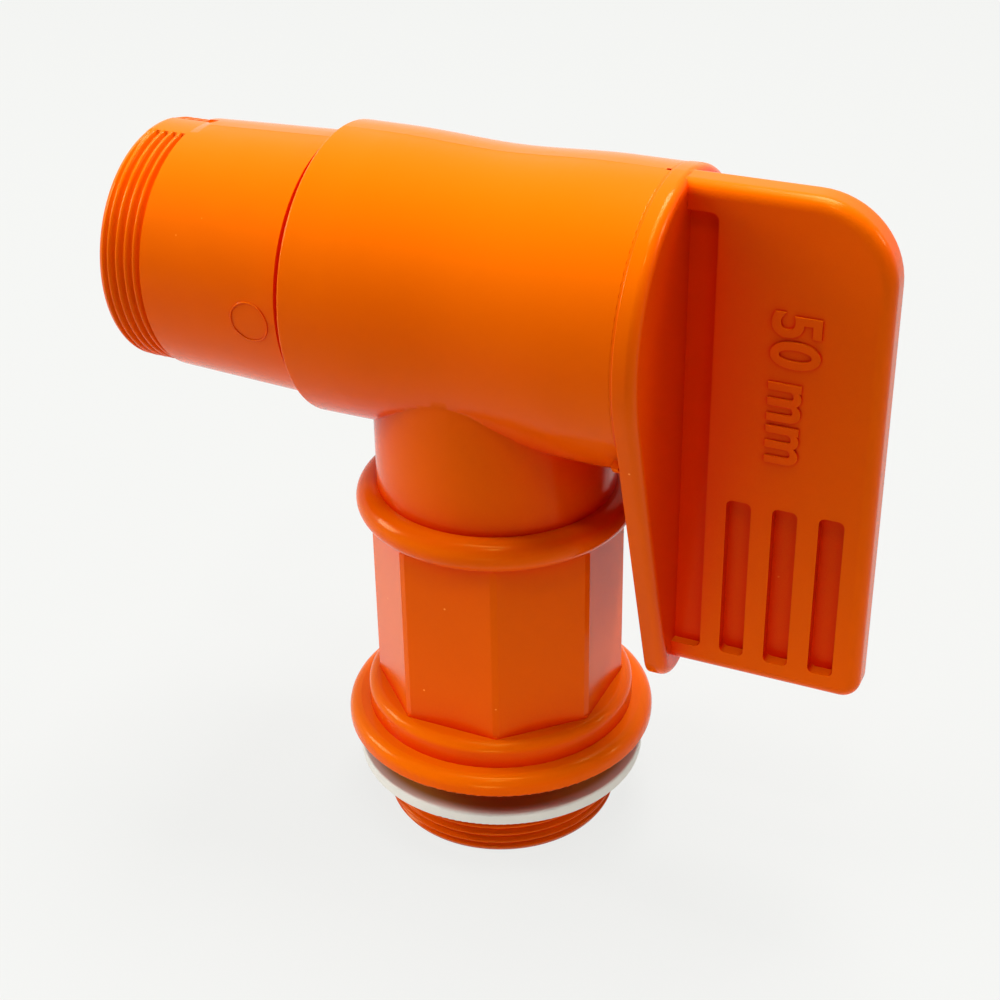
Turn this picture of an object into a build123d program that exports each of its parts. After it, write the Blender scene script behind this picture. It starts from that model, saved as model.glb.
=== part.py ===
"""Drum tap with a 2 inch pipe thread: moulded body, turning plug with spout and lever, seals.

The stem stands on +Z with its inlet end at the origin. The barrel lies along X at the top of
the stem, the lever is at its +X end and the spout at its -X end. The tap is modelled shut,
with the lever hanging beside the stem. Lengths are in millimetres, angles in degrees.
"""
import os

from build123d import *

# Pipe threads, drawn as plain cylinders at the crest
thread_radius = 29.8
thread_chamfer = 0.4
inlet_thread_length = 14.2
inlet_thread_runout = 0.6
shank_radius = 28.3

# Stem of the body, from the inlet end upwards
stem_bore_radius = 25.0
flange_bottom = 25.0
flange_radius = 39.2
flange_thickness = 5.4
flange_top_round = 1.2
flange_bottom_round = 0.5
collar_radius = 33.9
collar_height = 7.1
collar_round = 2.6
octagon_across_flats = 58.0
octagon_edge_round = 0.7
bead_height = 88.9
bead_ring_radius = 30.4
bead_section_radius = 4.0
neck_radius = 29.2

# Barrel of the body, waisted in the middle
barrel_height = 141.5
barrel_left = -37.5
barrel_right = 42.4
barrel_radius_left = 34.6
barrel_radius_right = 34.8
barrel_waist_radius = 33.65
barrel_waist_x = 2.5
barrel_band_left = 11.5
barrel_band_right = 12.0
barrel_rim_round = 0.7
barrel_seam_round = 0.4

# Turning plug and its fit in the barrel
plug_radius_left = 31.6
plug_radius_right = 32.0
running_clearance = 0.08
seam_clearance = 0.2
port_length = 46.0
port_width = 34.0
plug_end_wall = 10.0
chamber_radius = 24.5

# Snap bead that keeps the plug in the barrel
snap_inset = 4.0
snap_height = 0.6
snap_half_width = 1.2
snap_clearance = 0.4

# Quarter-turn stop between the plug and the lever end of the barrel
turn_angle = 90.0
stop_rest_angle = 45.0
stop_width_angle = 14.0
stop_end_clearance_angle = 0.6
stop_height = 1.1
stop_length = 2.6
stop_clearance = 0.3

# Seal rings beside the port
seal_section_radius = 1.24
seal_groove_depth = 2.5
seal_groove_width = 3.8
seal_port_gap = 6.0
seal_seat_gap = 0.03

# Spout
spout_length = 50.7
spout_thread_length = 11.6
spout_tube_radius = 30.1
spout_bore_radius = 25.5
spout_bore_length = 58.0
spout_mouth_round = 1.0

# Lever head, a teardrop plate over the end of the barrel
head_thickness = 5.2
head_overhang = 0.2
head_foot_radius = 10.3
lever_length = 82.6
head_outer_round = 2.5
head_inner_round = 0.4

# Lever web
web_width = 45.6
web_top_drop = 0.4
web_foot_reach = 4.3
web_thickness = 10.0
web_corner_round = 19.0
web_foot_round = 4.5
web_edge_round = 3.2
web_root_depth = 3.0

# Sunk panels in both faces of the web
channel_width = 7.1
channel_bottom_margin = 5.6
channel_top_margin = 6.1
channel_depth = 2.4
channel_corner_round = 1.8
slot_count = 3
slot_pitch = 10.8
slot_centre_inset = 20.0
slot_width = 5.9
slot_length = 41.6
slot_bottom_margin = 5.8
slot_depth = 3.1
slot_corner_round = 1.5

# Small marks left by the mould
notch_width = 1.0
notch_length = 1.2
notch_depth = 0.8
nib_size = 2.0
nib_height = 1.6
nib_stand_off = 1.5
nib_angle = 39.0

# White bung gasket, resting on the top of the inlet thread
gasket_radius = 36.7
gasket_thickness = 3.3
gasket_bore_radius = 28.6
gasket_round = 0.5

# Values worked out from the sizes above
collar_bottom = flange_bottom + flange_thickness
collar_top = collar_bottom + collar_height
plug_taper = (plug_radius_right - plug_radius_left) / (barrel_right - barrel_left)
snap_x = barrel_left + snap_inset
spout_end = barrel_left - spout_length
spout_thread_start = spout_end + spout_thread_length
head_inner = barrel_right + seam_clearance
head_outer = head_inner + head_thickness
head_radius = barrel_radius_right + head_overhang
head_foot_height = barrel_height - lever_length
chamber_end = head_outer - plug_end_wall
web_right = head_outer + web_width
web_top = barrel_height + head_radius - web_top_drop
web_bottom = head_foot_height - web_foot_reach
channel_right = head_outer + channel_width
channel_bottom = web_bottom + channel_bottom_margin
channel_top = web_top - channel_top_margin
slot_centre_x = web_right - slot_centre_inset
slot_centre_z = web_bottom + slot_bottom_margin + slot_length / 2

barrel_axis = Axis((0, 0, barrel_height), (1, 0, 0))
barrel_plane = Plane(origin=(0, 0, barrel_height), x_dir=(1, 0, 0), z_dir=(0, -1, 0))
stop_plane = Plane(origin=(barrel_right, 0, barrel_height), x_dir=(0, 1, 0), z_dir=(1, 0, 0))
seal_places = {
    "spout_side_o_ring": -port_length / 2 - seal_port_gap,
    "lever_side_o_ring": port_length / 2 + seal_port_gap,
}


def plug_radius_at(x):
    """Outer radius of the tapered plug at a place along the barrel."""
    return plug_radius_left + plug_taper * (x - barrel_left)


def bore_radius_at(x):
    """Radius of the barrel's bore, which clears the plug all along."""
    return plug_radius_at(x) + running_clearance


os.makedirs("parts", exist_ok=True)

# Body: threaded stem, flange, collar, octagon, bead, neck and barrel in one moulding
with BuildPart() as valve_body:
    with BuildSketch(Plane.XY.offset(flange_bottom)):
        Circle(flange_radius)
    extrude(amount=flange_thickness)
    fillet(valve_body.edges().sort_by(Axis.Z)[-1], flange_top_round)
    fillet(valve_body.edges().sort_by(Axis.Z)[0], flange_bottom_round)

    with BuildSketch(Plane.XY.offset(collar_bottom)):
        Circle(collar_radius)
    extrude(amount=collar_height)
    fillet(valve_body.edges().sort_by(Axis.Z)[-1], collar_round)

    with BuildSketch(Plane.XZ):
        with BuildLine():
            Polyline(
                (0, 0),
                (thread_radius, 0),
                (thread_radius, inlet_thread_length - inlet_thread_runout),
                (thread_radius - inlet_thread_runout, inlet_thread_length),
                (shank_radius, inlet_thread_length),
                (shank_radius, flange_bottom),
                (0, flange_bottom),
                close=True,
            )
        make_face()
    revolve(axis=Axis.Z)

    with BuildSketch(Plane.XY.offset(collar_top)) as octagon:
        RegularPolygon(octagon_across_flats / 2, 8, major_radius=False, rotation=22.5)
        fillet(octagon.vertices(), octagon_edge_round)
    extrude(amount=bead_height - collar_top)

    with BuildSketch(Plane.XZ):
        with Locations((bead_ring_radius, bead_height)):
            Circle(bead_section_radius)
    revolve(axis=Axis.Z)

    with BuildSketch(Plane.XY.offset(bead_height)):
        Circle(neck_radius)
    extrude(amount=barrel_height - bead_height)

    with BuildSketch(Plane.XY):
        Circle(stem_bore_radius)
    extrude(amount=barrel_height, mode=Mode.SUBTRACT)

    # The barrel crosses the stem's bore, so its wall is the seat around the port
    with BuildSketch(barrel_plane) as barrel_section:
        with BuildLine():
            left_band = barrel_left + barrel_band_left
            right_band = barrel_right - barrel_band_right
            Polyline(
                (left_band, barrel_radius_left),
                (barrel_left, barrel_radius_left),
                (barrel_left, 0),
                (barrel_right, 0),
                (barrel_right, barrel_radius_right),
                (right_band, barrel_radius_right),
            )
            Spline(
                (left_band, barrel_radius_left),
                (barrel_waist_x, barrel_waist_radius),
                (right_band, barrel_radius_right),
                tangents=[(1, 0), (1, 0)],
            )
        make_face()
        rim_corner = barrel_section.vertices().sort_by_distance((barrel_left, barrel_radius_left))[0]
        fillet(rim_corner, barrel_rim_round)
        seam_corner = barrel_section.vertices().sort_by_distance((barrel_right, barrel_radius_right))[0]
        fillet(seam_corner, barrel_seam_round)
    revolve(axis=barrel_axis)

    with BuildSketch(barrel_plane):
        with BuildLine():
            Polyline(
                (barrel_left, 0),
                (barrel_left, bore_radius_at(barrel_left)),
                (barrel_right, bore_radius_at(barrel_right)),
                (barrel_right, 0),
                close=True,
            )
        make_face()
    revolve(axis=barrel_axis, mode=Mode.SUBTRACT)

    # Groove for the plug's snap bead
    with BuildSketch(barrel_plane):
        with Locations((snap_x, bore_radius_at(snap_x))):
            Rectangle(
                2 * (snap_half_width + snap_clearance),
                2 * (snap_height + snap_clearance - running_clearance),
            )
    revolve(axis=barrel_axis, mode=Mode.SUBTRACT)

    # Pocket that the stop lug travels in
    with BuildSketch(stop_plane):
        with BuildLine():
            pocket_outer = bore_radius_at(barrel_right) + stop_height + stop_clearance
            pocket_start = stop_rest_angle - stop_width_angle / 2 - stop_end_clearance_angle
            pocket_sweep = turn_angle + stop_width_angle + 2 * stop_end_clearance_angle
            outer_arc = CenterArc((0, 0), pocket_outer, pocket_start, pocket_sweep)
            Line((0, 0), outer_arc @ 0)
            Line((0, 0), outer_arc @ 1)
        make_face()
    extrude(amount=-stop_length - stop_clearance, mode=Mode.SUBTRACT)

    # Port between the stem's bore and the barrel
    with BuildSketch(Plane.XY.offset(barrel_height)):
        SlotOverall(port_length, port_width)
    extrude(amount=-barrel_radius_right, mode=Mode.SUBTRACT)

    # Notch in the rim at the mould's parting line
    with BuildSketch(Plane.XY.offset(barrel_height + barrel_radius_right)):
        with Locations((barrel_right, 0)):
            Rectangle(2 * notch_length, notch_width)
    extrude(amount=-notch_depth, mode=Mode.SUBTRACT)

valve_body.part.label = "valve_body"
export_step(valve_body.part, "parts/valve_body.step")

# Lever head, rounded along its outer edge
with BuildPart() as lever_head:
    with BuildSketch(Plane(origin=(head_inner, 0, 0), x_dir=(0, 1, 0), z_dir=(1, 0, 0))):
        with Locations((0, barrel_height)):
            Circle(head_radius)
        with Locations((0, head_foot_height)):
            Circle(head_foot_radius)
        make_hull()
    extrude(amount=head_thickness)
    fillet(lever_head.faces().sort_by(Axis.X)[-1].edges(), head_outer_round)
    fillet(lever_head.faces().sort_by(Axis.X)[0].edges(), head_inner_round)

# Lever web, rounded all round, with a sunk channel and slots in both faces
with BuildPart() as lever_web:
    with BuildSketch(Plane.XZ) as web_outline:
        with BuildLine():
            Polyline(
                (head_outer - web_root_depth, web_bottom),
                (web_right, web_bottom),
                (web_right, web_top),
                (head_outer - web_root_depth, web_top),
                close=True,
            )
        make_face()
        fillet(web_outline.vertices().sort_by_distance((web_right, web_top))[0], web_corner_round)
        fillet(web_outline.vertices().sort_by_distance((web_right, web_bottom))[0], web_foot_round)
    extrude(amount=web_thickness / 2, both=True)
    root_face = lever_web.faces().sort_by(Axis.X)[0]
    side_edges = lever_web.faces().filter_by(Axis.Y).edges()
    fillet([edge for edge in side_edges if edge not in root_face.edges()], web_edge_round)

    for side in (-1, 1):
        web_face = Plane(origin=(0, side * web_thickness / 2, 0), x_dir=(1, 0, 0), z_dir=(0, -1, 0))
        with BuildSketch(web_face) as channel:
            with BuildLine():
                Polyline(
                    (head_inner, channel_bottom),
                    (channel_right, channel_bottom),
                    (channel_right, channel_top),
                    (head_inner, channel_top),
                    close=True,
                )
            make_face()
            fillet(channel.vertices().group_by(Axis.X)[-1], channel_corner_round)
        extrude(amount=side * channel_depth, mode=Mode.SUBTRACT)
        with BuildSketch(web_face):
            with Locations((slot_centre_x, slot_centre_z)):
                with GridLocations(slot_pitch, 0, slot_count, 1):
                    RectangleRounded(slot_width, slot_length, slot_corner_round)
        extrude(amount=side * slot_depth, mode=Mode.SUBTRACT)

# Plug, spout and lever, one moulding that turns in the barrel
with BuildPart() as spout_plug:
    with BuildSketch(barrel_plane) as plug_section:
        with BuildLine():
            plug_root = head_inner + head_inner_round
            Polyline(
                (spout_end, spout_bore_radius),
                (spout_end, thread_radius - thread_chamfer),
                (spout_end + thread_chamfer, thread_radius),
                (spout_thread_start, thread_radius),
                (spout_thread_start + spout_tube_radius - thread_radius, spout_tube_radius),
                (barrel_left, plug_radius_left),
                (plug_root, plug_radius_at(plug_root)),
                (plug_root, 0),
                (chamber_end, 0),
                (chamber_end, chamber_radius),
                (spout_end + spout_bore_length, chamber_radius),
                (spout_end + spout_bore_length, spout_bore_radius),
                close=True,
            )
        make_face()
        mouth_corner = plug_section.vertices().sort_by_distance((spout_end, spout_bore_radius))[0]
        fillet(mouth_corner, spout_mouth_round)
    revolve(axis=barrel_axis)

    # Grooves for the two seal rings
    for seal_x in seal_places.values():
        with BuildSketch(barrel_plane):
            with Locations((seal_x, plug_radius_at(seal_x))):
                Rectangle(seal_groove_width, 2 * seal_groove_depth)
        revolve(axis=barrel_axis, mode=Mode.SUBTRACT)

    # Snap bead that runs in the barrel's groove
    with BuildSketch(barrel_plane):
        with BuildLine():
            bead_left = (snap_x - snap_half_width, plug_radius_at(snap_x - snap_half_width))
            bead_right = (snap_x + snap_half_width, plug_radius_at(snap_x + snap_half_width))
            ThreePointArc(bead_left, (snap_x, plug_radius_at(snap_x) + snap_height), bead_right)
            Polyline(bead_right, (snap_x, plug_radius_at(snap_x) - snap_height), bead_left)
        make_face()
    revolve(axis=barrel_axis)

    # Stop lug beside the lever head
    with BuildSketch(stop_plane.offset(seam_clearance)):
        with BuildLine():
            lug_outer = plug_radius_at(barrel_right) + stop_height
            lug_start = stop_rest_angle - stop_width_angle / 2
            outer_arc = CenterArc((0, 0), lug_outer, lug_start, stop_width_angle)
            inner_arc = CenterArc((0, 0), plug_radius_left - stop_height, lug_start, stop_width_angle)
            Line(inner_arc @ 0, outer_arc @ 0)
            Line(inner_arc @ 1, outer_arc @ 1)
        make_face()
    extrude(amount=-stop_length - seam_clearance)

    # Port, facing sideways while the tap is shut
    with BuildSketch(barrel_plane):
        SlotOverall(port_length, port_width)
    extrude(amount=barrel_radius_right, mode=Mode.SUBTRACT)

    add(lever_head.part)
    add(lever_web.part)

    # Small gate stub behind the front edge of the lever head
    with BuildSketch(stop_plane.offset(seam_clearance)):
        with PolarLocations(head_radius + nib_stand_off, 1, start_angle=180 + nib_angle):
            Rectangle(nib_size, nib_size)
    extrude(amount=-nib_height)

spout_plug.part.label = "spout_plug"
export_step(spout_plug.part, "parts/spout_plug.step")

# Seal rings between the plug's grooves and the barrel's bore
for ring_name, ring_x in seal_places.items():
    with BuildPart() as seal_ring:
        groove_floor = plug_radius_at(ring_x) - seal_groove_depth
        with BuildSketch(barrel_plane):
            with Locations((ring_x, groove_floor + seal_seat_gap + seal_section_radius)):
                Circle(seal_section_radius)
        revolve(axis=barrel_axis)
    seal_ring.part.label = ring_name
    export_step(seal_ring.part, f"parts/{ring_name}.step")

# Flat gasket around the shank
with BuildPart() as bung_gasket:
    with BuildSketch(Plane.XY.offset(inlet_thread_length)):
        Circle(gasket_radius)
        Circle(gasket_bore_radius, mode=Mode.SUBTRACT)
    extrude(amount=gasket_thickness)
    outer_edges = bung_gasket.edges().filter_by(GeomType.CIRCLE).group_by(SortBy.RADIUS)[-1]
    fillet(outer_edges, gasket_round)

bung_gasket.part.label = "bung_gasket"
export_step(bung_gasket.part, "parts/bung_gasket.step")
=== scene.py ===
import math

import bpy
from mathutils import Matrix, Vector


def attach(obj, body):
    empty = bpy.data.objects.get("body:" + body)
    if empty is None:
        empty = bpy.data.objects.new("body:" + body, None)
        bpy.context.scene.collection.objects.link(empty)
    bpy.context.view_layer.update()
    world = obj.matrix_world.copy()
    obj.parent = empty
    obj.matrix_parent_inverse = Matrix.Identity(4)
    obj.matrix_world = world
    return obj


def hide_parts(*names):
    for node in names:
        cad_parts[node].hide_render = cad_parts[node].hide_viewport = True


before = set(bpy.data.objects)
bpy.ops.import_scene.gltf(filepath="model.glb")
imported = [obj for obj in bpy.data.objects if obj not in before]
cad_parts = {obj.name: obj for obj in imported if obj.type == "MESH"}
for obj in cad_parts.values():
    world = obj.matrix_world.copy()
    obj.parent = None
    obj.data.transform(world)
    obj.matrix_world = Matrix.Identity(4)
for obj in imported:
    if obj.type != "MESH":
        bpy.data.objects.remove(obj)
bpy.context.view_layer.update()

MM = 0.001
MERGE = 1e-6
ON_PLANE = 1e-7

# Pipe thread, the same form at the inlet and at the spout
CREST = 29.72 * MM
THREAD_DEPTH = 1.25 * MM
PITCH = 2.309 * MM
RINGS_PER_PITCH = 16
THREAD_STEPS = 240
PAD_RADIUS = 29.4 * MM
PAD_HALF_WIDTH = 4.75 * MM
PAD_EDGE = 0.5 * MM
LEAD_LENGTH = 2.0 * MM
LEAD_DEPTH = 0.75 * MM
FIRST_TURN_START = 0.9 * MM
FIRST_TURN_FULL = 2.2 * MM
DIE_BELOW_END = 0.7 * MM
CLEAR = 33.0 * MM
DIE_WALL = 34.5 * MM
NO_END = 1.0

# Barrel and spout
BARREL_HEIGHT = 141.5 * MM
BARREL_LEFT = -37.5 * MM
SPOUT_END = -88.2 * MM
SPOUT_THREAD = 11.6 * MM
SPOUT_THREAD_RAMP = 14.0 * MM
SPOUT_THREAD_RELIEF = 0.45 * MM
SPOUT_DIE_REACH = 17.0 * MM
INLET_THREAD = 14.2 * MM
TUBE_RADIUS_AT_THREAD = 30.1 * MM
TUBE_RADIUS_AT_BARREL = 31.6 * MM
TUBE_START = -76.3 * MM

# Stem: octagon, collar and flange
OCTAGON_CORNER = 31.06 * MM
OCTAGON_CUT_LOW = 37.2 * MM
OCTAGON_CUT_OUTSIDE = 33.0 * MM
OCTAGON_TOP = 84.0 * MM
SHOULDERS_INSIDE = 28.5 * MM
COLLAR_SHOULDER = (34.0 * MM, 37.6 * MM)
COLLAR_DROP = 1.0 * MM
FLANGE_SHOULDER = (29.0 * MM, 30.5 * MM)
FLANGE_DROP = 0.5 * MM

# Parting lines
LINE_HALF_WIDTH = 0.13 * MM
LINE_HEIGHT = 0.07 * MM
BARREL_LINE_RISE = 33.0 * MM
BARREL_LINE_INSET = 0.9 * MM
BARREL_LINE_RIGHT = 41.5 * MM
STEM_LINE_REACH = 28.6 * MM
STEM_LINE_LOW = 38.2 * MM
TUBE_LINE_RISE = 29.0 * MM
TUBE_LINE_INSET = 13.0 * MM
TUBE_LINE_GAP = 2.6 * MM
WEB_LINE_RISE = 34.0 * MM
WEB_LINE = (50.0 * MM, 74.0 * MM)

# Turned details and edges
STEM_STEPS = 240
BARREL_STEPS = 192
SMOOTH_UNDER = 38.0

# Ejector pin's mark on the tube
PIN_PLACE = (-47.0 * MM, 138.3 * MM)
PIN_RADIUS = 4.85 * MM
PIN_RIDGE = 0.21 * MM

# Raised size mark on the lever's web
MARK_TOP = 150.3 * MM
MARK_LENGTH = 36.5 * MM
MARK_LEFT = 67.6 * MM
MARK_HEIGHT = 11.4 * MM
MARK_PROUD = 0.55 * MM
WEB_FACE = -5.0 * MM


def deselect_all():
    if bpy.context.mode != "OBJECT":
        bpy.ops.object.mode_set(mode="OBJECT")
    bpy.ops.object.select_all(action="DESELECT")


def work_on(piece):
    deselect_all()
    piece.select_set(True)
    bpy.context.view_layer.objects.active = piece


def apply_place(piece):
    work_on(piece)
    bpy.ops.object.transform_apply(location=True, rotation=True, scale=True)


def moulding_from(node, name):
    """Welded copy of a CAD node's mesh that can take finer detail."""
    piece = bpy.data.objects.new(name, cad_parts[node].data.copy())
    bpy.context.scene.collection.objects.link(piece)
    work_on(piece)
    bpy.ops.mesh.customdata_custom_splitnormals_clear()
    bpy.ops.object.mode_set(mode="EDIT")
    bpy.ops.mesh.select_all(action="SELECT")
    bpy.ops.mesh.remove_doubles(threshold=MERGE)
    bpy.ops.object.mode_set(mode="OBJECT")
    return piece


def raise_parting_line(piece, on_the_line):
    """Thin ridge where the mould's halves met, in the plane through both axes."""
    work_on(piece)
    for offset in (-LINE_HALF_WIDTH, 0.0, LINE_HALF_WIDTH):
        bpy.ops.object.mode_set(mode="EDIT")
        bpy.ops.mesh.select_all(action="SELECT")
        bpy.ops.mesh.bisect(plane_co=(0.0, offset, 0.0), plane_no=(0.0, 1.0, 0.0))
        bpy.ops.object.mode_set(mode="OBJECT")
    for vertex in piece.data.vertices:
        if abs(vertex.co.y) < ON_PLANE and on_the_line(vertex.co):
            outward = Vector((vertex.normal.x, 0.0, vertex.normal.z)).normalized()
            vertex.co += outward * LINE_HEIGHT


def smooth_between(low, high, value):
    share = min(max((value - low) / (high - low), 0.0), 1.0)
    return share * share * (3.0 - 2.0 * share)


def thread_radius(angle, along, length, ramp, relief, padded):
    """Radius left standing by the thread die, from the end face inwards along the thread."""
    pad_lean = abs(math.cos(angle))
    lead = LEAD_DEPTH * max(0.0, 1.0 - max(along, 0.0) / LEAD_LENGTH) ** 2
    turn = along / PITCH - angle / (2.0 * math.pi)
    groove = THREAD_DEPTH * (0.5 + 0.5 * math.cos(2.0 * math.pi * turn)) ** 1.5
    started = smooth_between(FIRST_TURN_START, FIRST_TURN_FULL, along)
    standing = CREST - relief * pad_lean ** 4 - groove * started - lead
    plain = PAD_RADIUS - lead
    if along > length:
        standing = CLEAR
        plain = PAD_RADIUS + (along - length) / ramp * (CLEAR - PAD_RADIUS)
    if not padded:
        return standing
    sideways = CREST * abs(math.sin(angle))
    share = smooth_between(PAD_HALF_WIDTH, PAD_HALF_WIDTH + PAD_EDGE, sideways)
    return plain + (standing - plain) * share


def thread_die(name, reach, length, ramp, relief, padded):
    """Ring around the upright axis whose inner wall has the form of the thread."""
    low, high = -DIE_BELOW_END, reach
    deselect_all()
    bpy.ops.mesh.primitive_cylinder_add(
        vertices=THREAD_STEPS,
        radius=CREST,
        depth=high - low,
        end_fill_type="NOTHING",
        location=(0.0, 0.0, (high + low) / 2.0),
    )
    die = bpy.context.object
    die.name = name
    apply_place(die)
    bpy.ops.object.mode_set(mode="EDIT")
    bpy.ops.mesh.select_mode(type="EDGE")
    bpy.ops.mesh.select_all(action="DESELECT")
    bpy.ops.object.mode_set(mode="OBJECT")
    for edge in die.data.edges:
        first, second = (die.data.vertices[i].co for i in edge.vertices)
        edge.select = abs(first.z - second.z) > 0.5 * (high - low)
    bpy.ops.object.mode_set(mode="EDIT")
    bpy.ops.mesh.subdivide(number_cuts=round((high - low) / PITCH * RINGS_PER_PITCH))
    bpy.ops.mesh.select_all(action="DESELECT")
    bpy.ops.mesh.select_non_manifold()
    bpy.ops.mesh.extrude_region()
    wider = DIE_WALL / CREST
    bpy.ops.transform.resize(value=(wider, wider, 1.0), center_override=(0.0, 0.0, 0.0))
    bpy.ops.mesh.bridge_edge_loops()
    bpy.ops.object.mode_set(mode="OBJECT")
    for vertex in die.data.vertices:
        if vertex.co.xy.length < 0.5 * (CREST + DIE_WALL):
            angle = math.atan2(vertex.co.y, vertex.co.x)
            radius = thread_radius(angle, vertex.co.z, length, ramp, relief, padded)
            vertex.co.x = radius * math.cos(angle)
            vertex.co.y = radius * math.sin(angle)
    bpy.ops.object.mode_set(mode="EDIT")
    bpy.ops.mesh.select_all(action="SELECT")
    bpy.ops.mesh.normals_make_consistent(inside=False)
    bpy.ops.object.mode_set(mode="OBJECT")
    return die


def combine(piece, tool, operation):
    """Cut a tool out of a piece, or join it on, and drop the tool."""
    work_on(piece)
    change = piece.modifiers.new("change", "BOOLEAN")
    change.operation = operation
    change.solver = "MANIFOLD"
    change.object = tool
    bpy.ops.object.modifier_apply(modifier=change.name)
    bpy.data.objects.remove(tool)


def ring_tool(name, profile, steps):
    """Closed ring around the upright axis, spun from a profile of radius and height."""
    deselect_all()
    bpy.ops.mesh.primitive_circle_add(vertices=len(profile), radius=MM)
    ring = bpy.context.object
    ring.name = name
    for vertex, (radius, height) in zip(ring.data.vertices, profile):
        vertex.co = (radius, 0.0, height)
    bpy.ops.object.mode_set(mode="EDIT")
    bpy.ops.mesh.select_all(action="SELECT")
    bpy.ops.mesh.spin(
        steps=steps, angle=2.0 * math.pi, center=(0.0, 0.0, 0.0), axis=(0.0, 0.0, 1.0)
    )
    bpy.ops.mesh.select_all(action="SELECT")
    bpy.ops.mesh.remove_doubles(threshold=MERGE)
    bpy.ops.mesh.normals_make_consistent(inside=False)
    bpy.ops.object.mode_set(mode="OBJECT")
    return ring


def lay_along_barrel(ring):
    """Turn a ring from the upright axis onto the barrel's axis, its height becoming x."""
    ring.rotation_euler = (0.0, math.radians(90.0), 0.0)
    ring.location = (0.0, 0.0, BARREL_HEIGHT)
    apply_place(ring)


def finish_shading(piece, degrees):
    work_on(piece)
    bpy.ops.object.shade_smooth_by_angle(angle=math.radians(degrees))
    weighting = piece.modifiers.new("weighting", "WEIGHTED_NORMAL")
    weighting.weight = 80
    weighting.keep_sharp = True
    bpy.ops.object.modifier_apply(modifier=weighting.name)


# Body moulding with its drum thread
tap_body = moulding_from("valve_body", "tap_body_moulding")


def body_line(place):
    on_top = place.z - BARREL_HEIGHT > BARREL_LINE_RISE
    on_barrel = on_top and BARREL_LEFT + BARREL_LINE_INSET < place.x < BARREL_LINE_RIGHT
    on_stem = abs(place.x) > STEM_LINE_REACH and STEM_LINE_LOW < place.z < OCTAGON_TOP
    return on_barrel or on_stem


raise_parting_line(tap_body, body_line)

# Shoulders of the collar and the flange, a little lower than in the solid
for vertex in tap_body.data.vertices:
    if vertex.co.xy.length > SHOULDERS_INSIDE:
        if COLLAR_SHOULDER[0] < vertex.co.z < COLLAR_SHOULDER[1]:
            vertex.co.z -= COLLAR_DROP
        elif FLANGE_SHOULDER[0] < vertex.co.z < FLANGE_SHOULDER[1]:
            vertex.co.z -= FLANGE_DROP

# Octagon's corners, slightly rounded
corner_cut = ring_tool(
    "corner_cut",
    [
        (OCTAGON_CORNER, OCTAGON_CUT_LOW),
        (OCTAGON_CUT_OUTSIDE, OCTAGON_CUT_LOW),
        (OCTAGON_CUT_OUTSIDE, OCTAGON_TOP),
        (OCTAGON_CORNER, OCTAGON_TOP),
    ],
    STEM_STEPS,
)
combine(tap_body, corner_cut, "DIFFERENCE")

# Flange's upper edge, more rounded than in the solid
flange_cut = ring_tool(
    "flange_cut",
    [
        (40.0 * MM, 31.0 * MM),
        (36.2 * MM, 31.0 * MM),
        (36.2 * MM, 29.9 * MM),
        (37.1 * MM, 29.76 * MM),
        (37.9 * MM, 29.38 * MM),
        (38.55 * MM, 28.78 * MM),
        (38.97 * MM, 27.98 * MM),
        (39.2 * MM, 27.0 * MM),
        (40.0 * MM, 27.0 * MM),
    ],
    STEM_STEPS,
)
combine(tap_body, flange_cut, "DIFFERENCE")
INLET_DIE_REACH = INLET_THREAD + 0.6 * MM
inlet_die = thread_die("inlet_die", INLET_DIE_REACH, NO_END, NO_END, 0.0, False)
combine(tap_body, inlet_die, "DIFFERENCE")
finish_shading(tap_body, SMOOTH_UNDER)

# Plug moulding with spout and lever
tap_plug = moulding_from("spout_plug", "plug_and_lever_moulding")


def plug_line(place):
    rise = abs(place.z - BARREL_HEIGHT)
    along_tube = SPOUT_END + TUBE_LINE_INSET < place.x < BARREL_LEFT - TUBE_LINE_GAP
    along_web = WEB_LINE[0] < place.x < WEB_LINE[1]
    return (along_tube and rise > TUBE_LINE_RISE) or (along_web and rise > WEB_LINE_RISE)


raise_parting_line(tap_plug, plug_line)
spout_die = thread_die(
    "spout_die", SPOUT_DIE_REACH, SPOUT_THREAD, SPOUT_THREAD_RAMP, SPOUT_THREAD_RELIEF, True
)
spout_die.rotation_euler = (0.0, math.radians(90.0), 0.0)
spout_die.location = (SPOUT_END, 0.0, BARREL_HEIGHT)
apply_place(spout_die)
combine(tap_plug, spout_die, "DIFFERENCE")


def tube_radius(x):
    share = (x - TUBE_START) / (BARREL_LEFT - TUBE_START)
    return TUBE_RADIUS_AT_THREAD + share * (TUBE_RADIUS_AT_BARREL - TUBE_RADIUS_AT_THREAD)


# Groove between the tube's shoulder and the barrel's rim
shoulder_groove = ring_tool(
    "shoulder_groove",
    [
        (29.8 * MM, -37.7 * MM),
        (33.0 * MM, -37.7 * MM),
        (33.0 * MM, -39.95 * MM),
        (31.46 * MM, -39.95 * MM),
        (31.3 * MM, -39.8 * MM),
        (29.8 * MM, -39.6 * MM),
    ],
    BARREL_STEPS,
)
lay_along_barrel(shoulder_groove)
combine(tap_plug, shoulder_groove, "DIFFERENCE")

# Lip that closes most of the seam between the barrel and the lever's head
seam_lip = ring_tool(
    "seam_lip",
    [
        (34.0 * MM, 42.46 * MM),
        (34.45 * MM, 42.46 * MM),
        (34.6 * MM, 42.42 * MM),
        (34.7 * MM, 42.34 * MM),
        (34.78 * MM, 42.22 * MM),
        (34.78 * MM, 43.4 * MM),
        (34.0 * MM, 43.4 * MM),
    ],
    BARREL_STEPS,
)
lay_along_barrel(seam_lip)
combine(tap_plug, seam_lip, "UNION")

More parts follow.
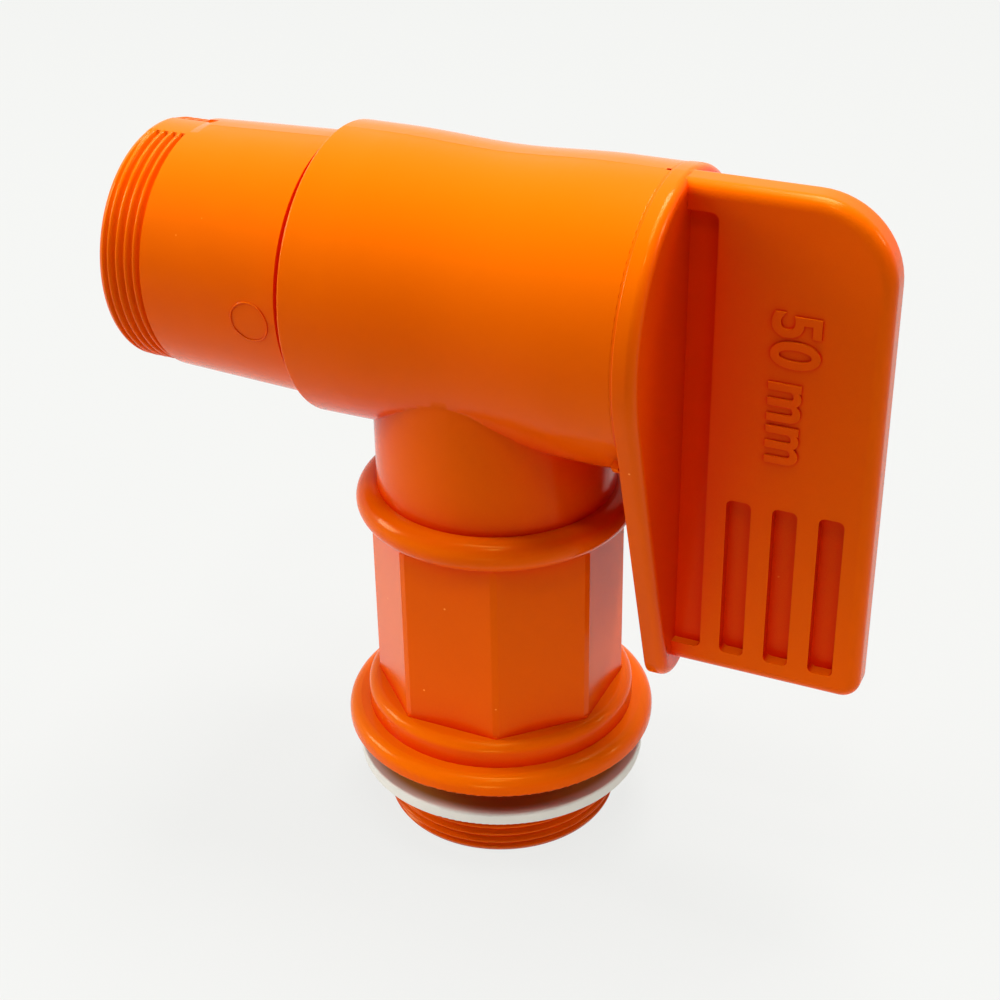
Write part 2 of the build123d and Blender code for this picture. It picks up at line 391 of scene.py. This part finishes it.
# Fine raised ring on the tube, left by the mould's ejector pin
deselect_all()
bpy.ops.mesh.primitive_torus_add(
    location=(PIN_PLACE[0], 0.0, PIN_PLACE[1]),
    rotation=(math.radians(90.0), 0.0, 0.0),
    major_radius=PIN_RADIUS,
    minor_radius=PIN_RIDGE,
    major_segments=72,
    minor_segments=10,
)
pin_ring = bpy.context.object
pin_ring.name = "pin_ring"
apply_place(pin_ring)
for vertex in pin_ring.data.vertices:
    rise = vertex.co.z - BARREL_HEIGHT
    vertex.co.y -= math.sqrt(tube_radius(vertex.co.x) ** 2 - rise ** 2)
combine(tap_plug, pin_ring, "UNION")

# Raised size of the bore on the lever's web, read downwards
deselect_all()
bpy.ops.object.text_add()
size_mark = bpy.context.object
size_mark.name = "lever_bore_size"
size_mark.data.body = "50 mm"
size_mark.data.size = 15.2 * MM
size_mark.data.space_character = 1.03
size_mark.data.space_word = 0.75
size_mark.data.offset = 0.22 * MM
size_mark.data.extrude = 0.5 * MM
size_mark.data.bevel_depth = 0.14 * MM
size_mark.data.bevel_resolution = 2
size_mark.data.resolution_u = 8
bpy.ops.object.convert(target="MESH")
size_mark = bpy.context.object
lowest = Vector((min(v.co[i] for v in size_mark.data.vertices) for i in range(3)))
highest = Vector((max(v.co[i] for v in size_mark.data.vertices) for i in range(3)))
along = MARK_LENGTH / (highest.x - lowest.x)
across = MARK_HEIGHT / (highest.y - lowest.y)
for vertex in size_mark.data.vertices:
    reading = (vertex.co.x - lowest.x) * along
    rising = (vertex.co.y - lowest.y) * across
    standing = MARK_PROUD - (highest.z - vertex.co.z)
    vertex.co = (MARK_LEFT + rising, WEB_FACE - standing, MARK_TOP - reading)
work_on(size_mark)
bpy.ops.object.mode_set(mode="EDIT")
bpy.ops.mesh.select_all(action="SELECT")
bpy.ops.mesh.remove_doubles(threshold=MERGE)
bpy.ops.mesh.normals_make_consistent(inside=False)
bpy.ops.object.mode_set(mode="OBJECT")
combine(tap_plug, size_mark, "UNION")
finish_shading(tap_plug, SMOOTH_UNDER)


# Socket places of a Mix node that mixes colours
MIX_SHARE, MIX_FIRST, MIX_SECOND, MIX_RESULT = 0, 6, 7, 2


def colour_mix(nodes):
    mix = nodes.new("ShaderNodeMix")
    mix.data_type = "RGBA"
    return mix


def value_map(nodes, low, high):
    """Map that runs from nought at the low value to one at the high value."""
    mapped = nodes.new("ShaderNodeMapRange")
    mapped.inputs["From Min"].default_value = low
    mapped.inputs["From Max"].default_value = high
    return mapped


def new_group(name, inputs, outputs):
    group = bpy.data.node_groups.new(name, "ShaderNodeTree")
    for label, kind, value in inputs:
        socket = group.interface.new_socket(name=label, in_out="INPUT", socket_type=kind)
        socket.default_value = value
    for label, kind in outputs:
        group.interface.new_socket(name=label, in_out="OUTPUT", socket_type=kind)
    return group


WAVE_SIZE = 110.0
GRAIN_SHARE = 0.05
SPECK_EDGE = (0.05, 0.03)
CELLS_WITHOUT_SPECK = 0.72
BUMP_DEPTH = 0.0004


def moulded_surface_group():
    """Slow waviness, fine grain, drifting tone and stray specks of a moulded surface."""
    group = new_group(
        "moulded_surface",
        [
            ("Tone Size", "NodeSocketFloat", 60.0),
            ("Grain Size", "NodeSocketFloat", 2600.0),
            ("Speck Size", "NodeSocketFloat", 150.0),
            ("Smoothest", "NodeSocketFloat", 0.22),
            ("Roughest", "NodeSocketFloat", 0.32),
        ],
        [
            ("Tone", "NodeSocketFloat"),
            ("Specks", "NodeSocketFloat"),
            ("Roughness", "NodeSocketFloat"),
            ("Height", "NodeSocketFloat"),
        ],
    )
    nodes, links = group.nodes, group.links
    given = nodes.new("NodeGroupInput")
    result = nodes.new("NodeGroupOutput")
    place = nodes.new("ShaderNodeTexCoord")

    tone = nodes.new("ShaderNodeTexNoise")
    tone.inputs["Detail"].default_value = 3.0
    links.new(place.outputs["Object"], tone.inputs["Vector"])
    links.new(given.outputs["Tone Size"], tone.inputs["Scale"])
    links.new(tone.outputs["Fac"], result.inputs["Tone"])

    grain = nodes.new("ShaderNodeTexNoise")
    grain.inputs["Detail"].default_value = 2.0
    links.new(place.outputs["Object"], grain.inputs["Vector"])
    links.new(given.outputs["Grain Size"], grain.inputs["Scale"])

    waves = nodes.new("ShaderNodeTexNoise")
    waves.inputs["Scale"].default_value = WAVE_SIZE
    waves.inputs["Detail"].default_value = 1.0
    links.new(place.outputs["Object"], waves.inputs["Vector"])

    height = nodes.new("ShaderNodeMath")
    height.operation = "MULTIPLY_ADD"
    height.inputs[1].default_value = GRAIN_SHARE
    links.new(grain.outputs["Fac"], height.inputs[0])
    links.new(waves.outputs["Fac"], height.inputs[2])
    links.new(height.outputs["Value"], result.inputs["Height"])

    roughness = nodes.new("ShaderNodeMapRange")
    links.new(tone.outputs["Fac"], roughness.inputs["Value"])
    links.new(given.outputs["Smoothest"], roughness.inputs["To Min"])
    links.new(given.outputs["Roughest"], roughness.inputs["To Max"])
    links.new(roughness.outputs["Result"], result.inputs["Roughness"])

    cells = nodes.new("ShaderNodeTexVoronoi")
    links.new(place.outputs["Object"], cells.inputs["Vector"])
    links.new(given.outputs["Speck Size"], cells.inputs["Scale"])
    near = value_map(nodes, *SPECK_EDGE)
    links.new(cells.outputs["Distance"], near.inputs["Value"])
    chosen = nodes.new("ShaderNodeSeparateColor")
    links.new(cells.outputs["Color"], chosen.inputs["Color"])
    some = nodes.new("ShaderNodeMath")
    some.operation = "GREATER_THAN"
    some.inputs[1].default_value = CELLS_WITHOUT_SPECK
    links.new(chosen.outputs["Red"], some.inputs[0])
    specks = nodes.new("ShaderNodeMath")
    specks.operation = "MULTIPLY"
    links.new(near.outputs["Result"], specks.inputs[0])
    links.new(some.outputs["Value"], specks.inputs[1])
    links.new(specks.outputs["Value"], result.inputs["Specks"])
    return group


moulded_surface = moulded_surface_group()


def moulded_material(name, deep, light, speck, sizes, bump, sockets):
    """One plastic or rubber: two near tones, specks, roughness and bump from the shared group."""
    material = bpy.data.materials.new(name)
    material.use_nodes = True
    nodes, links = material.node_tree.nodes, material.node_tree.links
    shader = nodes["Principled BSDF"]
    surface = nodes.new("ShaderNodeGroup")
    surface.node_tree = moulded_surface
    for label, value in sizes.items():
        surface.inputs[label].default_value = value
    tones = colour_mix(nodes)
    tones.inputs[MIX_FIRST].default_value = (*deep, 1.0)
    tones.inputs[MIX_SECOND].default_value = (*light, 1.0)
    links.new(surface.outputs["Tone"], tones.inputs[MIX_SHARE])
    specked = colour_mix(nodes)
    specked.inputs[MIX_SECOND].default_value = (*speck, 1.0)
    links.new(surface.outputs["Specks"], specked.inputs[MIX_SHARE])
    links.new(tones.outputs[MIX_RESULT], specked.inputs[MIX_FIRST])
    links.new(specked.outputs[MIX_RESULT], shader.inputs["Base Color"])
    links.new(surface.outputs["Roughness"], shader.inputs["Roughness"])
    relief = nodes.new("ShaderNodeBump")
    relief.inputs["Strength"].default_value = bump
    relief.inputs["Distance"].default_value = BUMP_DEPTH
    links.new(surface.outputs["Height"], relief.inputs["Height"])
    links.new(relief.outputs["Normal"], shader.inputs["Normal"])
    for label, value in sockets.items():
        shader.inputs[label].default_value = value
    return material


orange_sizes = {
    "Tone Size": 45.0,
    "Grain Size": 2600.0,
    "Speck Size": 150.0,
    "Smoothest": 0.13,
    "Roughest": 0.23,
}
orange_sockets = {
    "IOR": 1.2,
    "Specular Tint": (1.0, 0.75, 0.1, 1.0),
}
ORANGE_SPECK = (0.95, 0.3, 0.05)
ORANGE_BUMP = 0.04
# Painted shade: deep red for hollows and between close walls
PAINTED_SHADE_RED = (0.66, 0.015, 0.0)
orange_body = moulded_material(
    "orange_body_plastic",
    (0.72, 0.086, 0.0),
    (0.75, 0.096, 0.0),
    ORANGE_SPECK,
    orange_sizes,
    ORANGE_BUMP,
    orange_sockets,
)
orange_plug = moulded_material(
    "orange_plug_plastic",
    (0.71, 0.081, 0.0),
    (0.74, 0.091, 0.0),
    ORANGE_SPECK,
    orange_sizes,
    ORANGE_BUMP,
    orange_sockets,
)

# Painted light and shade by shape: the side painted paler as light, how far walls reach for the
# painted shade, and where the spout stays plain
PAINTED_LIGHT_SIDE = (-0.447, 0.0, 0.894)
PAINTED_LIGHT_TURN = (0.0, 0.9)
PAINTED_SHADE_REACH = 0.05
PAINTED_SHADE_OPENNESS = (0.96, 0.66)
PAINTED_SHADE_LEDGE_TURN = (0.95, 0.6)
PAINTED_SHADE_LEDGE_SHARE = 0.35
PAINTED_SHADE_SPOUT_FADE = (-0.09, -0.04)


def painted_light_and_shade_group():
    """Colour painted paler as light on faces turned up and to the spout, and painted deep red as
    shade between close walls.
    """
    group = new_group(
        "painted_light_and_shade",
        [
            ("Plain", "NodeSocketColor", (0.72, 0.086, 0.0, 1.0)),
            ("Painted Light", "NodeSocketColor", (0.7, 0.138, 0.0, 1.0)),
            ("Painted Shade", "NodeSocketColor", (0.66, 0.015, 0.0, 1.0)),
        ],
        [("Color", "NodeSocketColor")],
    )
    nodes, links = group.nodes, group.links
    given = nodes.new("NodeGroupInput")
    result = nodes.new("NodeGroupOutput")
    place = nodes.new("ShaderNodeTexCoord")
    facing = nodes.new("ShaderNodeSeparateXYZ")
    links.new(place.outputs["Normal"], facing.inputs["Vector"])
    # Painted light: colour painted paler on faces turned up and to the spout
    towards = nodes.new("ShaderNodeVectorMath")
    towards.operation = "DOT_PRODUCT"
    towards.inputs[1].default_value = PAINTED_LIGHT_SIDE
    links.new(place.outputs["Normal"], towards.inputs[0])
    painted_lit_share = value_map(nodes, *PAINTED_LIGHT_TURN)
    links.new(towards.outputs["Value"], painted_lit_share.inputs["Value"])
    painted_lit = colour_mix(nodes)
    links.new(painted_lit_share.outputs["Result"], painted_lit.inputs[MIX_SHARE])
    links.new(given.outputs["Plain"], painted_lit.inputs[MIX_FIRST])
    links.new(given.outputs["Painted Light"], painted_lit.inputs[MIX_SECOND])

    # Painted shade: deep red where close walls hide the surface, weaker on ledges facing up and
    # on the spout
    painted_shade_openness = nodes.new("ShaderNodeAmbientOcclusion")
    painted_shade_openness.only_local = True
    painted_shade_openness.samples = 4
    painted_shade_openness.inputs["Distance"].default_value = PAINTED_SHADE_REACH
    depth = value_map(nodes, *PAINTED_SHADE_OPENNESS)
    links.new(painted_shade_openness.outputs["AO"], depth.inputs["Value"])
    painted_shade_ledge = value_map(nodes, *PAINTED_SHADE_LEDGE_TURN)
    painted_shade_ledge.inputs["To Min"].default_value = PAINTED_SHADE_LEDGE_SHARE
    links.new(facing.outputs["Z"], painted_shade_ledge.inputs["Value"])
    along = nodes.new("ShaderNodeSeparateXYZ")
    links.new(place.outputs["Object"], along.inputs["Vector"])
    painted_shade_off_spout = value_map(nodes, *PAINTED_SHADE_SPOUT_FADE)
    links.new(along.outputs["X"], painted_shade_off_spout.inputs["Value"])
    painted_shade_walled = nodes.new("ShaderNodeMath")
    painted_shade_walled.operation = "MULTIPLY"
    links.new(depth.outputs["Result"], painted_shade_walled.inputs[0])
    links.new(painted_shade_ledge.outputs["Result"], painted_shade_walled.inputs[1])
    share = nodes.new("ShaderNodeMath")
    share.operation = "MULTIPLY"
    links.new(painted_shade_walled.outputs["Value"], share.inputs[0])
    links.new(painted_shade_off_spout.outputs["Result"], share.inputs[1])
    painted_shade_mix = colour_mix(nodes)
    links.new(share.outputs["Value"], painted_shade_mix.inputs[MIX_SHARE])
    links.new(painted_lit.outputs[MIX_RESULT], painted_shade_mix.inputs[MIX_FIRST])
    links.new(given.outputs["Painted Shade"], painted_shade_mix.inputs[MIX_SECOND])
    links.new(painted_shade_mix.outputs[MIX_RESULT], result.inputs["Color"])
    return group


painted_light_and_shade = painted_light_and_shade_group()


def paint_light_and_shade(material, painted_light_colour, painted_shade_colour):
    """Pass a material's plain colour through the shared painted light on upper faces and painted
    shade in hollows.
    """
    nodes, links = material.node_tree.nodes, material.node_tree.links
    shader = nodes["Principled BSDF"]
    plain = shader.inputs["Base Color"].links[0].from_socket
    tone = nodes.new("ShaderNodeGroup")
    tone.node_tree = painted_light_and_shade
    tone.inputs["Painted Light"].default_value = (*painted_light_colour, 1.0)
    tone.inputs["Painted Shade"].default_value = (*painted_shade_colour, 1.0)
    links.new(plain, tone.inputs["Plain"])
    links.new(tone.outputs["Color"], shader.inputs["Base Color"])


# Painted light on upper faces and painted shade in hollows, on both orange mouldings
paint_light_and_shade(orange_body, (0.7, 0.138, 0.0), PAINTED_SHADE_RED)
paint_light_and_shade(orange_plug, (0.69, 0.134, 0.0), PAINTED_SHADE_RED)
white_gasket = moulded_material(
    "white_gasket_plastic",
    (0.66, 0.65, 0.58),
    (0.74, 0.73, 0.67),
    (0.42, 0.38, 0.3),
    {
        "Tone Size": 70.0,
        "Grain Size": 1800.0,
        "Speck Size": 260.0,
        "Smoothest": 0.45,
        "Roughest": 0.6,
    },
    0.1,
    {"IOR": 1.25},
)


# Painted shade: brown on the gasket's top under the flange, darkest towards the shank
PAINTED_SHADE_BROWN = (0.3, 0.15, 0.012, 1.0)
PAINTED_SHADE_RADII = (36.7 * MM, 33.0 * MM)
PAINTED_SHADE_COVER = 0.97


def paint_shade_towards_shank(material):
    """Painted shade on the gasket under the flange: brown that grows from its unshaded rim to the
    shank.
    """
    nodes, links = material.node_tree.nodes, material.node_tree.links
    shader = nodes["Principled BSDF"]
    unshaded = shader.inputs["Base Color"].links[0].from_socket
    place = nodes.new("ShaderNodeTexCoord")
    flattened = nodes.new("ShaderNodeVectorMath")
    flattened.operation = "MULTIPLY"
    flattened.inputs[1].default_value = (1.0, 1.0, 0.0)
    links.new(place.outputs["Object"], flattened.inputs[0])
    radius = nodes.new("ShaderNodeVectorMath")
    radius.operation = "LENGTH"
    links.new(flattened.outputs["Vector"], radius.inputs[0])
    shaded_share = value_map(nodes, *PAINTED_SHADE_RADII)
    shaded_share.interpolation_type = "SMOOTHSTEP"
    shaded_share.inputs["To Max"].default_value = PAINTED_SHADE_COVER
    links.new(radius.outputs["Value"], shaded_share.inputs["Value"])
    shade_mixed = colour_mix(nodes)
    shade_mixed.inputs[MIX_SECOND].default_value = PAINTED_SHADE_BROWN
    links.new(shaded_share.outputs["Result"], shade_mixed.inputs[MIX_SHARE])
    links.new(unshaded, shade_mixed.inputs[MIX_FIRST])
    links.new(shade_mixed.outputs[MIX_RESULT], shader.inputs["Base Color"])


# Painted shade under the flange on the gasket
paint_shade_towards_shank(white_gasket)
seal_rubber = moulded_material(
    "black_seal_rubber",
    (0.018, 0.018, 0.019),
    (0.03, 0.03, 0.031),
    (0.05, 0.05, 0.05),
    {
        "Tone Size": 120.0,
        "Grain Size": 2200.0,
        "Speck Size": 400.0,
        "Smoothest": 0.5,
        "Roughest": 0.65,
    },
    0.15,
    {"IOR": 1.5},
)


def dress(piece, material):
    piece.data.materials.clear()
    piece.data.materials.append(material)
    for face in piece.data.polygons:
        face.material_index = 0


dress(tap_body, orange_body)
dress(tap_plug, orange_plug)
dress(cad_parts["bung_gasket"], white_gasket)
dress(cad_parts["spout_side_o_ring"], seal_rubber)
dress(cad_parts["lever_side_o_ring"], seal_rubber)

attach(tap_body, "body")
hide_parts("valve_body")
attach(tap_plug, "plug")
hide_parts("spout_plug")

# Pale floor
deselect_all()
bpy.ops.mesh.primitive_grid_add(x_subdivisions=4, y_subdivisions=4, size=8.0)
floor = bpy.context.object
floor.name = "pale_floor"

BACKGROUND = (0.88, 0.888, 0.872, 1.0)
PAPER_GREY = (0.56, 0.56, 0.555, 1.0)
PAPER_GLOW = 0.9
SURROUNDINGS_STRENGTH = 0.09
LAMP_WHITE = (1.0, 0.99, 0.97)


def seen_directly(nodes, links):
    """One for a ray from the camera, from a mirror-like surface or through a clear one."""
    rays = nodes.new("ShaderNodeLightPath")
    first = nodes.new("ShaderNodeMath")
    first.operation = "MAXIMUM"
    links.new(rays.outputs["Is Camera Ray"], first.inputs[0])
    links.new(rays.outputs["Is Glossy Ray"], first.inputs[1])
    second = nodes.new("ShaderNodeMath")
    second.operation = "MAXIMUM"
    links.new(first.outputs["Value"], second.inputs[0])
    links.new(rays.outputs["Is Transmission Ray"], second.inputs[1])
    return second.outputs["Value"]


pale_paper = bpy.data.materials.new("pale_floor_paper")
pale_paper.use_nodes = True
nodes, links = pale_paper.node_tree.nodes, pale_paper.node_tree.links
output = nodes["Material Output"]
nodes.remove(nodes["Principled BSDF"])
lit = nodes.new("ShaderNodeBsdfDiffuse")
lit.inputs["Color"].default_value = PAPER_GREY
glow = nodes.new("ShaderNodeEmission")
glow.inputs["Color"].default_value = BACKGROUND
glow.inputs["Strength"].default_value = 1.0
share = nodes.new("ShaderNodeMath")
share.operation = "MULTIPLY"
share.inputs[1].default_value = PAPER_GLOW
links.new(seen_directly(nodes, links), share.inputs[0])
paper = nodes.new("ShaderNodeMixShader")
links.new(share.outputs["Value"], paper.inputs[0])
links.new(lit.outputs["BSDF"], paper.inputs[1])
links.new(glow.outputs["Emission"], paper.inputs[2])
links.new(paper.outputs["Shader"], output.inputs["Surface"])
floor.data.materials.append(pale_paper)

# Studio light: white surroundings and softboxes above, behind, at both sides and low in front
world = bpy.data.worlds.new("studio")
bpy.context.scene.world = world
world.use_nodes = True
nodes, links = world.node_tree.nodes, world.node_tree.links
surroundings = nodes["Background"]
surroundings.inputs["Color"].default_value = (1.0, 1.0, 1.0, 1.0)
surroundings.inputs["Strength"].default_value = SURROUNDINGS_STRENGTH
backdrop = nodes.new("ShaderNodeBackground")
backdrop.inputs["Color"].default_value = BACKGROUND
backdrop.inputs["Strength"].default_value = 1.0
chooser = nodes.new("ShaderNodeMixShader")
links.new(seen_directly(nodes, links), chooser.inputs[0])
links.new(surroundings.outputs["Background"], chooser.inputs[1])
links.new(backdrop.outputs["Background"], chooser.inputs[2])
links.new(chooser.outputs["Shader"], nodes["World Output"].inputs["Surface"])

LIGHT_CENTRE = Vector((0.0, 0.0, 0.1))


def softbox(name, azimuth, elevation, distance, size, power, aim=LIGHT_CENTRE, spread=180.0):
    """Rectangular lamp seen from its aim at an azimuth from the front and an elevation."""
    around, above = math.radians(azimuth), math.radians(elevation)
    direction = Vector(
        (math.sin(around) * math.cos(above), -math.cos(around) * math.cos(above), math.sin(above))
    )
    deselect_all()
    bpy.ops.object.light_add(type="AREA", location=aim + direction * distance)
    lamp = bpy.context.object
    lamp.name = name
    lamp.rotation_euler = direction.to_track_quat("Z", "Y").to_euler()
    lamp.data.shape = "RECTANGLE"
    lamp.data.size, lamp.data.size_y = size
    lamp.data.spread = math.radians(spread)
    lamp.data.energy = power
    lamp.data.color = LAMP_WHITE
    lamp.visible_camera = False


softbox("top_softbox", 0.0, 88.0, 2.0, (0.8, 0.8), 32.0)
softbox("back_softbox", 180.0, 70.0, 2.0, (0.8, 0.8), 46.0)
softbox("left_softbox", -76.0, 24.0, 1.5, (0.5, 0.5), 15.0)
softbox("right_softbox", 112.0, 28.0, 1.5, (0.3, 0.3), 4.5)
softbox("small_softbox", 18.0, 62.0, 2.0, (0.2, 0.2), 6.4)
softbox("low_softbox", 15.0, 5.5, 0.6, (0.3, 0.06), 0.04, Vector((0.0, 0.0, -0.01)), 24.0)

# Camera at the photograph's viewpoint
CAMERA_PLACE = Vector((167.102, -357.653, 312.573)) * MM
CAMERA_RIGHT = Vector((0.91022, 0.41384, -0.01526))
CAMERA_UP = Vector((-0.1941, 0.45887, 0.86704))
CAMERA_BACK = Vector((0.36582, -0.78624, 0.498))
deselect_all()
bpy.ops.object.camera_add()
camera = bpy.context.object
camera.name = "photograph_camera"
turned = Matrix((CAMERA_RIGHT, CAMERA_UP, CAMERA_BACK)).transposed().to_4x4()
camera.matrix_world = Matrix.Translation(CAMERA_PLACE) @ turned
camera.data.sensor_width = 36.0
camera.data.sensor_height = 36.0
camera.data.lens = 66.911
camera.data.clip_start = 0.01
scene = bpy.context.scene
scene.camera = camera
scene.view_settings.view_transform = "Standard"
